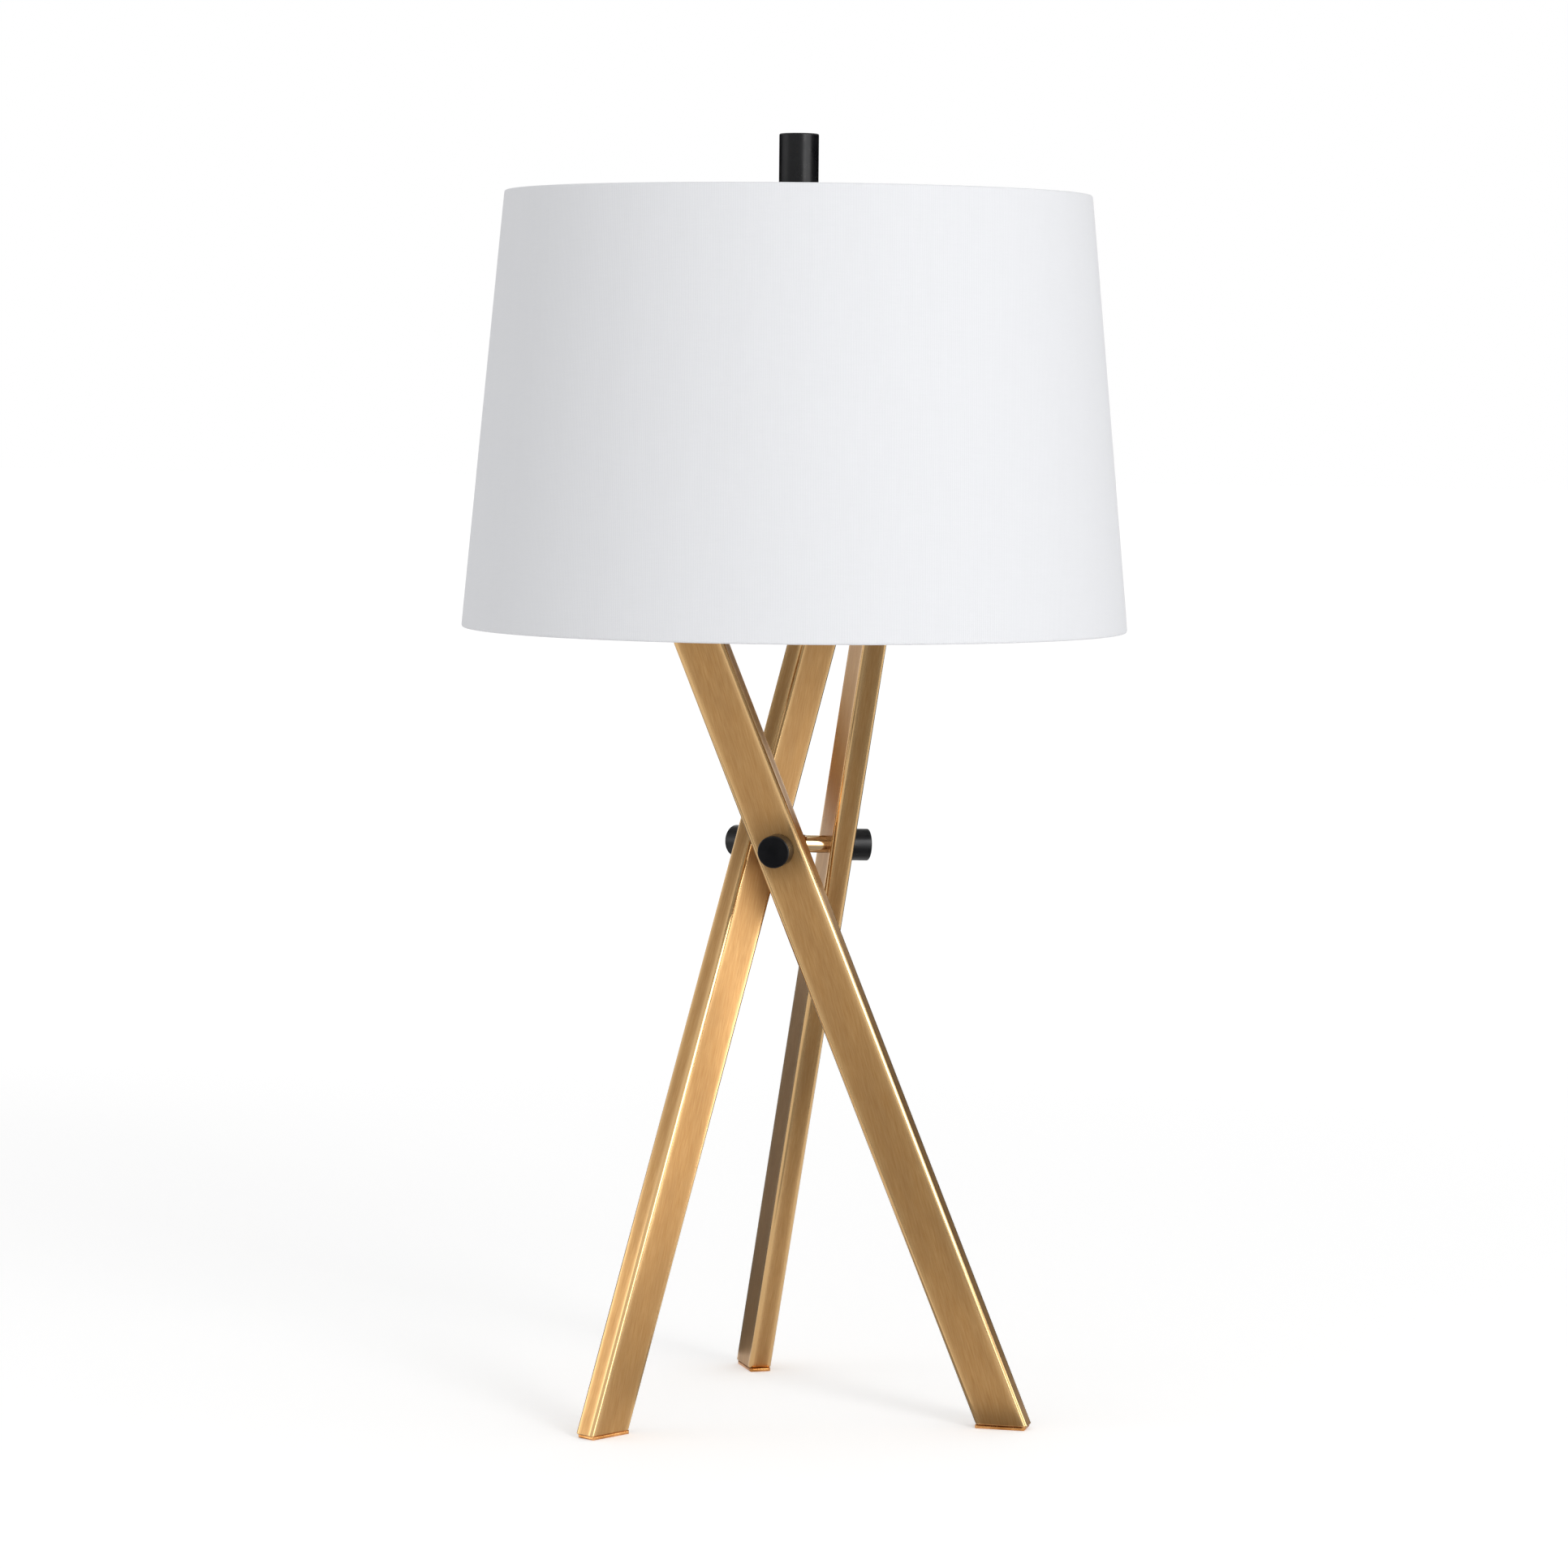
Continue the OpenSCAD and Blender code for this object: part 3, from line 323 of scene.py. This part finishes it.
def turned_boss(name):
    """The outline's points, chamfer to chamfer, turned once round the lamp's axis."""
    r = np.array([BOSS_R - BOSS_CHAMFER, BOSS_R, BOSS_R, BOSS_R - BOSS_CHAMFER])[:, None]
    half = BOSS_H / 2
    z = HUB_Z + np.array([-half, BOSS_CHAMFER - half, half - BOSS_CHAMFER, half])[:, None]
    turn = np.linspace(0, 2 * pi, 64, endpoint=False)[None]
    return skin(name, np.stack([r * np.cos(turn), r * np.sin(turn), z + 0 * turn], -1), caps=True)


hub_brass = turned_metal("turned_aged_brass", "#D2B083", "#EBCD9F", 0.1)
refinish(hub_brass, "hub_arm_front", "hub_arm_right", "hub_arm_left")
dress(turned_boss("turned_boss"), hub_brass, "stand", ["hub_boss"])
zinc = patina_metal("zinc_plated_steel", "#8E9093", "#B4B6B8", 0.3, 0.0015)
refinish(zinc, "leg_sleeves")

# ---- Knobs ----
# Turned metal, powder coated satin black, each on a thin black fibre washer. The coat has a fine
# orange peel that softens its reflections.


def powder_coat(name, colour, roughness):
    """Satin paint with dimples one to each 0.6 mm and a slow change of gloss."""
    m = new_material(name)
    where = add(m, "TexCoord").outputs["Object"]
    peel = noise(m, where, (0.0006,) * 3, 2.0, 0.5)
    cloud = noise(m, where, (0.006,) * 3, 2.0, 0.5)
    bump = add(m, "Bump", {"Height": peel, "Strength": 0.12, "Distance": 0.00002})
    tone = blend_colour(m, between(m, peel, 0.3, 0.7), colour, "#0F1013")
    return surface(m, base_color=tone,
                   roughness=between(m, cloud, 0.3, 0.7, roughness - 0.04, roughness + 0.06), ior=1.5,
                   specular_ior_level=0.22, normal=bump.outputs["Normal"])


satin_black = powder_coat("satin_black_powder_coat", "#09090C", 0.3)
refinish(satin_black, "knob_front", "knob_right", "knob_left")
refinish(powder_coat("black_fibre", "#161515", 0.7), "knob_washers")

# ---- Socket bracket ----
# A plate of laser-cut brass with three arms, brushed along X. It is screwed to a zinc-plated steel
# plug in the top of each leg.
refinish(turned_metal("brushed_plate_brass", "#A47A49", "#C49C66", 0.34, "X"), "socket_bracket")
refinish(zinc, "top_plug_front", "top_plug_right", "top_plug_left", "bracket_screws")

# ---- Nipple, saddle and harp ----
# Lamp fittings of drawn or turned brass, polished and lacquered. The nipple's nut holds the saddle
# to the bracket, and the harp's ends stand in the saddle under their locking sleeves.
lacquered = turned_metal("polished_brass", "#C99F4E", "#E0BB6B", 0.16, "Z", 0.0008, 0.000004)
refinish(lacquered, "nipple", "nipple_nut", "harp_saddle", "harp_bow", "lock_sleeve_right",
         "lock_sleeve_left", "harp_stud")
refinish(zinc, "nut_washer")

# ---- Socket ----
# A brass cap and shell, with a board liner, a moulded phenolic core and an aluminium screw shell
# inside, and a turn switch at its side.
refinish(lacquered, "socket_cap", "socket_shell", "centre_contact")
aluminium = patina_metal("bright_aluminium", "#C9CBCD", "#DDDFE0", 0.22, 0.001)
refinish(aluminium, "screw_shell")
refinish(zinc, "switch_shaft")


def plain(name, low, high, roughness, grain):
    """A moulded or pressed surface: two near tones and a slight relief, one to each grain."""
    m = new_material(name)
    where = add(m, "TexCoord").outputs["Object"]
    spots = noise(m, where, (grain,) * 3, 3.0, 0.55)
    bump = add(m, "Bump", {"Height": spots, "Strength": 0.3, "Distance": 0.00003})
    return surface(m, base_color=blend_colour(m, between(m, spots, 0.3, 0.7), low, high),
                   roughness=between(m, spots, 0.3, 0.7, roughness - 0.04, roughness + 0.04), ior=1.5,
                   normal=bump.outputs["Normal"])


refinish(plain("pressed_paper", "#C9B48C", "#D8C49C", 0.85, 0.0012), "socket_liner")
phenolic = plain("phenolic_moulding", "#141211", "#201C1A", 0.3, 0.002)
refinish(phenolic, "socket_core", "switch_knob")

# ---- Lead ----
# A rubber-jacketed lead that runs inside the right leg, with a moulded bushing where it goes in and
# where it comes out.
refinish(plain("lead_jacket", "#171717", "#202020", 0.55, 0.001), "inner_lead")
refinish(phenolic, "lead_bushing", "outlet_bushing")

# ---- Bulb ----
# An LED bulb: a frosted polycarbonate globe, a white plastic collar and an aluminium screw base with
# its tip.


def frosted_globe():
    m = new_material("frosted_polycarbonate")
    where = add(m, "TexCoord").outputs["Object"]
    frost = noise(m, where, (0.0004,) * 3, 2.0, 0.5)
    bump = add(m, "Bump", {"Height": frost, "Strength": 0.2, "Distance": 0.00002})
    return surface(m, base_color=blend_colour(m, frost, "#ECEBE6", "#F4F3EF"), roughness=0.48,
                   ior=1.58, subsurface_weight=0.4, subsurface_radius=(0.004, 0.004, 0.0038),
                   subsurface_scale=1.0, normal=bump.outputs["Normal"])


refinish(frosted_globe(), "bulb_globe")
refinish(plain("white_plastic", "#E6E6E3", "#EEEEEB", 0.4, 0.0015), "bulb_collar")
refinish(aluminium, "bulb_screw_base", "bulb_tip")

# ---- Shade ----
# White linen glued to a stiff styrene liner that is rolled into a drum and lapped at the back. The
# cloth is turned in over the wire rings at both edges, and the upper ring carries the spider.
SHADE_Z, SHADE_H = 0.4525, 0.248
SHADE_BOTTOM_R, SHADE_TOP_R = 0.1905, 0.16725
LINEN_T = 0.0006
ROLL_R = 0.002
FOLD_H = 0.011
FOLD_DEPTH = 0.0019  # of the turned-in cloth's middle, in from the shade's face
HEM_EASE = 0.0035  # height in which the hem comes in from its fold
FOLD_SQUARE = 0.55  # power that squares the fold's outline; 1 leaves it a circle
LAP_W, LAP_RISE = 0.012, 0.0005
LAP_AT_R = 0.18  # middle radius, at which the lap has its width
WAVE = 0.00008  # height of each of the two longer waves round the wall
WAVE_FADE = 0.01  # from each fold, over which the waves grow
WARP_PITCH = 0.00087
SHADE_FRONT = radians(-76)  # heading opposite the lap
shade_slope = np.arctan2(SHADE_BOTTOM_R - SHADE_TOP_R, SHADE_H)


def linen_profile():
    """Middle line of the cloth, (n, 2) as depth in from the face and height up it, and the
    distance run along it: hem turned in, a fold round the ring, wall, fold, hem. Each fold is half
    of |x| ** n + |y| ** n = 1, n = 2 / FOLD_SQUARE: a circle pulled squarer by the taut cloth."""
    wall_h = (SHADE_H - 2 * ROLL_R) / cos(shade_slope)
    roll = ROLL_R - LINEN_T / 2
    up = np.linspace(1, 0, 5)
    ease = up * up * (3 - 2 * up)
    hem_h = np.concatenate([np.linspace(FOLD_H - ROLL_R, HEM_EASE, 4)[:-1], HEM_EASE * up])
    hem_d = np.concatenate([np.full(3, FOLD_DEPTH), FOLD_DEPTH + (ROLL_R + roll - FOLD_DEPTH) * (1 - ease)])
    turn = np.linspace(0, pi, 13)[1:-1]
    low = np.stack([ROLL_R + roll * np.sign(np.cos(turn)) * abs(np.cos(turn)) ** FOLD_SQUARE,
                    -roll * np.sin(turn) ** FOLD_SQUARE], -1)
    wall = np.stack([np.full(41, LINEN_T / 2), np.linspace(0, wall_h, 41)], -1)
    hem = np.stack([hem_d, hem_h], -1)
    half = np.concatenate([hem, low])
    line = np.concatenate([half, wall, (half * (1, -1) + (0, wall_h))[::-1]])
    run = np.concatenate([[0], np.cumsum(np.linalg.norm(np.diff(line, axis=0), axis=-1))])
    return line, run, run[len(half)]


def linen_drum(name):
    """The profile carried round a cone, and given its thickness along its own normal. Round the
    cone the wall waves by the sum of three sines, 0.2 mm at most. The lap at the back rises by
    LAP_RISE over half its width, and ends in a step one width on. UV is the flat cut in metres:
    distance from the cone's tip, turned by angle x sine of the slope."""
    line, run, wall_start = linen_profile()
    along = np.gradient(line, axis=0)
    normal = np.stack([along[:, 1], -along[:, 0]], -1) / np.linalg.norm(along, axis=-1)[:, None]
    both = np.concatenate([line + normal * LINEN_T / 2, (line - normal * LINEN_T / 2)[::-1]])
    both_run = np.concatenate([run, run[::-1]])
    lap = LAP_W / LAP_AT_R
    angle = np.unique(np.concatenate([np.linspace(-pi, pi, 289)[:-1],
                                      np.linspace(pi - 1.6 * lap, pi - 1e-4, 24)]))
    ramp = np.clip((angle - (pi - 1.5 * lap)) / (0.5 * lap), 0, 1)
    wave = WAVE * (np.sin(5 * angle + 0.7) + np.sin(13 * angle + 2.1) + 0.6 * np.sin(31 * angle))
    up_wall = both_run - wall_start
    down_wall = SHADE_H - 2 * ROLL_R - up_wall
    grown = np.clip(up_wall / WAVE_FADE, 0, 1) * np.clip(down_wall / WAVE_FADE, 0, 1)
    lift = LAP_RISE * (ramp * ramp * (3 - 2 * ramp))[None] + wave[None] * grown[:, None]
    depth = both[:, :1] - lift
    ring_r = SHADE_BOTTOM_R - ROLL_R * tan(shade_slope) - ROLL_R / cos(shade_slope)
    foot_r, foot_z = ring_r + ROLL_R * cos(shade_slope), SHADE_Z + ROLL_R + ROLL_R * sin(shade_slope)
    r = foot_r - both[:, 1:] * sin(shade_slope) - depth * cos(shade_slope)
    z = foot_z + both[:, 1:] * cos(shade_slope) - depth * sin(shade_slope)
    heading = (SHADE_FRONT + angle)[None]
    points = np.stack([r * np.cos(heading), r * np.sin(heading), z], -1)
    reach = foot_r / sin(shade_slope) - up_wall
    reach = np.concatenate([reach, reach[:1]])[:, None]
    opened = np.concatenate([angle, [pi]])[None] * sin(shade_slope)
    uv = np.stack([reach * np.sin(opened), 2 - reach * np.cos(opened)], -1)
    return skin(name, points, uv, closed=(True, True), sharp=50)


# Plain-woven linen, bleached: matt and slightly hairy. Its warp shows as upright ribs 0.87 mm apart
# that sway a little, and its weft as uneven lines 0.8 mm apart across them.
def bleached_linen():
    m = new_material("bleached_linen")
    uv = add(m, "UVMap", uv_map="surface").outputs["UV"]
    sway = noise(m, uv, (0.004, 0.05, 1), 2.0, 0.5)
    side = add(m, "SeparateXYZ", {"Vector": uv}).outputs["X"]
    turns = add(m, "Math", {0: side, 1: 2 * pi / WARP_PITCH, 2: between(m, sway, 0, 1, 0, 5)},
                operation="MULTIPLY_ADD")
    thread = add(m, "Math", {0: turns.outputs[0]}, operation="SINE").outputs[0]
    warp = between(m, thread, -1, 1)
    slub = noise(m, uv, (0.003, 0.12, 1), 2.0, 0.5)
    weft = noise(m, uv, (0.012, 0.0008, 1), 2.0, 0.5)
    tone = blend_colour(m, warp, "#EEEFF2", "#F7F8FB")
    tone = blend_colour(m, between(m, slub, 0.4, 0.75, 0, 0.15), tone, "#EDEEF1")
    tone = blend_colour(m, between(m, weft, 0.35, 0.7, 0, 0.3), tone, "#EFF0F3")
    height = add(m, "Math", {0: warp, 1: weft}, operation="ADD").outputs[0]
    bump = add(m, "Bump", {"Height": height, "Strength": 0.3, "Distance": 0.0001})
    return surface(m, base_color=tone, roughness=0.9, ior=1.45, specular_ior_level=0.25,
                   sheen_weight=0.08, sheen_roughness=0.5, normal=bump.outputs["Normal"])


linen = dress(linen_drum("linen_drum"), bleached_linen(), "shade", ["shade_linen"])
refinish(plain("styrene_sheet", "#ECECEA", "#F2F2F0", 0.55, 0.004), "shade_liner")
refinish(zinc, "top_ring", "bottom_ring", "spider_arms", "spider_washer")

# ---- Finial ----
# A turned cylinder, powder coated as the knobs are, on a threaded brass collar that screws down on
# the spider.
refinish(satin_black, "finial_knob")
refinish(lacquered, "finial_collar")

# ---- Stage and light ----
# A white floor that fades into a white room, under soft studio light: a tall key light at the front
# right, a wide one above it, small ones low at the right and at the left, a weak fill from the left,
# and grey cards that the metal shows as darker faces.
GLOW_NEAR, GLOW_FAR = 0.3, 3.5
LAMP_MIDDLE = 0.35
FLOOR_REACH = 30
FLOOR_FLAG_Z = 0.003
ROOM_LIGHT = 0.635  # what the white room gives to matt surfaces, as a share of its own white


def backdrop_rays(owner):
    """1 for rays that see the background as such, from the camera or in metal and glass."""
    path = add(owner, "LightPath").outputs
    seen = add(owner, "Math", {0: path["Is Camera Ray"], 1: path["Is Glossy Ray"]}, operation="MAXIMUM")
    return add(owner, "Math", {0: seen.outputs[0], 1: path["Is Transmission Ray"]},
               operation="MAXIMUM").outputs[0]


def stage_card(name, corners, colour, glow=None):
    """One flat card. glow makes it the camera's backdrop too, and gives how much its own white adds
    at GLOW_NEAR from the lamp and at GLOW_FAR."""
    mesh = bpy.data.meshes.new(name)
    mesh.from_pydata(corners, [], [(0, 1, 2, 3)])
    card = bpy.data.objects.new(name, mesh)
    bpy.context.scene.collection.objects.link(card)
    m = new_material(name)
    paint = add(m, "BsdfDiffuse", {"Color": linear(colour)}).outputs["BSDF"]
    if glow:
        away = add(m, "VectorMath", {0: add(m, "TexCoord").outputs["Object"]}, operation="LENGTH")
        fade = add(m, "MapRange", {"Value": away.outputs["Value"], "From Min": GLOW_NEAR,
                                   "From Max": GLOW_FAR, "To Min": glow[0], "To Max": glow[1]},
                   interpolation_type="SMOOTHSTEP")
        own = add(m, "Math", {0: backdrop_rays(m), 1: fade.outputs["Result"]}, operation="MULTIPLY")
        own = add(m, "Emission", {"Color": linear("#FFFFFF"), "Strength": own.outputs[0]})
        paint = add(m, "AddShader", {0: paint, 1: own.outputs["Emission"]}).outputs["Shader"]
    add(m, "OutputMaterial", {"Surface": paint})
    mesh.materials.append(m)
    card.visible_camera = glow is not None
    return card


def placed(heading, height, distance):
    """A frame at a heading and height angle in degrees from the lamp's middle, that faces it."""
    return (Matrix.Translation((0, 0, LAMP_MIDDLE)) @ Matrix.Rotation(radians(heading) + pi / 2, 4, "Z")
            @ Matrix.Rotation(pi / 2 - radians(height), 4, "X") @ Matrix.Translation((0, 0, distance)))


def soft_box(name, where, size, radiance, lights_cloth=False):
    """A rectangular light whose power is pi x its area x radiance. All of them show in the metal, and
    those with lights_cloth shine on matt surfaces too."""
    data = bpy.data.lights.new(name, "AREA")
    data.shape = "RECTANGLE"
    data.size, data.size_y = size
    data.energy = pi * size[0] * size[1] * radiance
    box = bpy.data.objects.new(name, data)
    box.matrix_world = placed(*where)
    bpy.context.scene.collection.objects.link(box)
    box.visible_camera = False
    box.visible_diffuse = lights_cloth
    return box


def on_wall(heading, distance, width, low, high):
    """Corners of an upright card at a heading and distance, from one height to another."""
    out = Vector((cos(radians(heading)), sin(radians(heading)), 0)) * distance
    side = Vector((-sin(radians(heading)), cos(radians(heading)), 0)) * width / 2
    up = Vector((0, 0, 1))
    return [out - side + up * low, out + side + up * low, out + side + up * high, out - side + up * high]


def laid_flat(low, high, height):
    """Corners of a level card at a height, from its low (x, y) corner to its high one."""
    return [(low[0], low[1], height), (high[0], low[1], height), (high[0], high[1], height),
            (low[0], high[1], height)]


def flag(name, corners, colour):
    """A grey card that only the metal's reflections see, so it takes no light off the lamp."""
    card = stage_card(name, corners, colour)
    card.visible_diffuse = card.visible_shadow = False
    return card


stage_card("floor", laid_flat((-FLOOR_REACH, -FLOOR_REACH), (FLOOR_REACH, FLOOR_REACH), 0), "#F2F2F2",
           glow=(0.36, 0.5))
soft_box("key_light", (-44, 18, 2.5), (0.56, 2.0), 5.3, lights_cloth=True)
soft_box("top_light", (-20, 25, 2.0), (1.5, 0.9), 5.5)
soft_box("low_light", (15, -14, 0.9), (0.5, 0.24), 2.85)
soft_box("left_light", (-169, 4, 1.1), (0.5, 0.4), 1.25)
soft_box("fill_light", (-155, 12, 2.2), (0.8, 0.8), 1.0, lights_cloth=True)
flag("flag_left", on_wall(137, 0.5, 0.8, 0.02, 0.22), "#A8A8A8")
flag("flag_right", on_wall(75, 0.57, 0.7, 0.0, 0.42), "#505050")
flag("flag_knob", on_wall(-97, 0.1, 0.03, 0.305, 0.336), "#202020")
for heading in range(14, 160, 35):
    flag("flag_high_" + str(heading), on_wall(heading, 0.45, 0.3, 0.6, 0.86), "#101010")
for name, low, high, colour in (("far", (-0.6, -1.0), (0.7, -0.36), "#C4C4C4"),
                                ("right", (0.17, -0.36), (0.7, -0.06), "#C0C0C0"),
                                ("middle", (-0.05, -0.06), (0.16, 0.05), "#CCCCCC"),
                                ("left", (-0.5, 0.14), (-0.08, 0.5), "#909090")):
    flag("flag_floor_" + name, laid_flat(low, high, FLOOR_FLAG_Z), colour)

world = bpy.data.worlds.new("studio")
bpy.context.scene.world = world
world.use_nodes = True
world.node_tree.nodes.clear()
strength = between(world, backdrop_rays(world), 0, 1, ROOM_LIGHT, 1.0)
add(world, "OutputWorld", {"Surface": add(world, "Background", {
    "Color": linear("#FFFFFF"), "Strength": strength}).outputs["Background"]})
